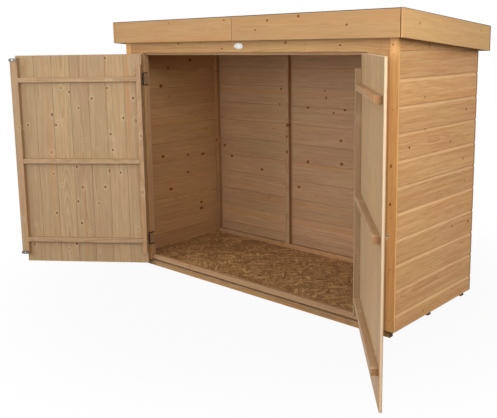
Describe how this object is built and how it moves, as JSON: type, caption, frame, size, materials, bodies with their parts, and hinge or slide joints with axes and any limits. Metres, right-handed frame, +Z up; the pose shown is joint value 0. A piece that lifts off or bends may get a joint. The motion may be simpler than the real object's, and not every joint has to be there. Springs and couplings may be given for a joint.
{
  "type": "bike shelter",
  "caption": "Low timber pent shelter for bikes, closed on three sides, with double doors on the front, shown open, and a felted roof falling to the back.",
  "frame": {"origin": "middle of the body's footprint, on the ground under the bearers", "axes": "+X to the right along the front, +Y from the front to the back, +Z up"},
  "size_m": [2.6735, 1.4055, 1.482],
  "materials": {
    "sawn_bearer": "rough",
    "strand_board": "rough",
    "planed_frame": "planed",
    "cladding": "planed",
    "trim": "planed",
    "door_timber": "planed",
    "felt": "mineral felt",
    "badge_face": "satin",
    "galvanised": "galvanised"
  },
  "bodies": {
    "shelter": {"bearer_front": "sawn_bearer", "bearer_middle": "sawn_bearer", "bearer_back": "sawn_bearer", "floor_board": "strand_board", "roof_board": "strand_board", "sill": "planed_frame", "left_jamb": "planed_frame", "right_jamb": "planed_frame", "corner_posts": "planed_frame", "side_top_rails": "planed_frame", "back_battens": "planed_frame", "header_rail": "planed_frame", "back_bottom_rail": "planed_frame", "back_top_rail": "planed_frame", "left_wall": "cladding", "right_wall": "cladding", "back_wall": "cladding", "left_front_panel": "cladding", "right_front_panel": "cladding", "header_board": "trim", "left_corner_trim": "trim", "right_corner_trim": "trim", "front_fascia_left": "trim", "front_fascia_right": "trim", "back_fascia": "trim", "left_fascia": "trim", "right_fascia": "trim", "roof_felt": "felt", "badge": "badge_face", "jamb_leaves": "galvanised"},
    "left_door": {"left_door_boards": "door_timber", "left_hinge_stile": "door_timber", "left_ledges": "door_timber", "left_hinge_leaves": "galvanised", "left_meeting_stile": "door_timber", "button_screws": "galvanised", "bolt_keep": "galvanised"},
    "right_door": {"right_door_boards": "door_timber", "right_hinge_stile": "door_timber", "right_ledges": "door_timber", "right_hinge_leaves": "galvanised", "bolt_plate": "galvanised"},
    "door_bolt": {"bolt_bar": "galvanised"},
    "lower_button": {"lower_turn_button": "galvanised"},
    "upper_button": {"upper_turn_button": "galvanised"}
  },
  "joints": [
    {"name": "left_door_hinge", "type": "hinge", "parent": "shelter", "child": "left_door", "pos_m": [-0.7775, -0.391, 0.648], "axis": [0, 0, -1], "range_deg": [-143.3, 31.7]},
    {"name": "right_door_hinge", "type": "hinge", "parent": "shelter", "child": "right_door", "pos_m": [0.7775, -0.391, 0.648], "axis": [0, 0, 1], "range_deg": [-129.3, 45.7]},
    {"name": "lower_button_turn", "type": "hinge", "parent": "left_door", "child": "lower_button", "pos_m": [-1.3689, -0.89605, 0.085], "axis": [0.5976, -0.8018, 0], "range_deg": [-90, 90]},
    {"name": "upper_button_turn", "type": "hinge", "parent": "left_door", "child": "upper_button", "pos_m": [-1.3689, -0.89605, 1.269], "axis": [0.5976, -0.8018, 0], "range_deg": [-90, 90]},
    {"name": "bolt_slide", "type": "slide", "parent": "right_door", "child": "door_bolt", "axis": [0.6334, -0.7738, 0], "range_m": [0, 0.022]}
  ]
}
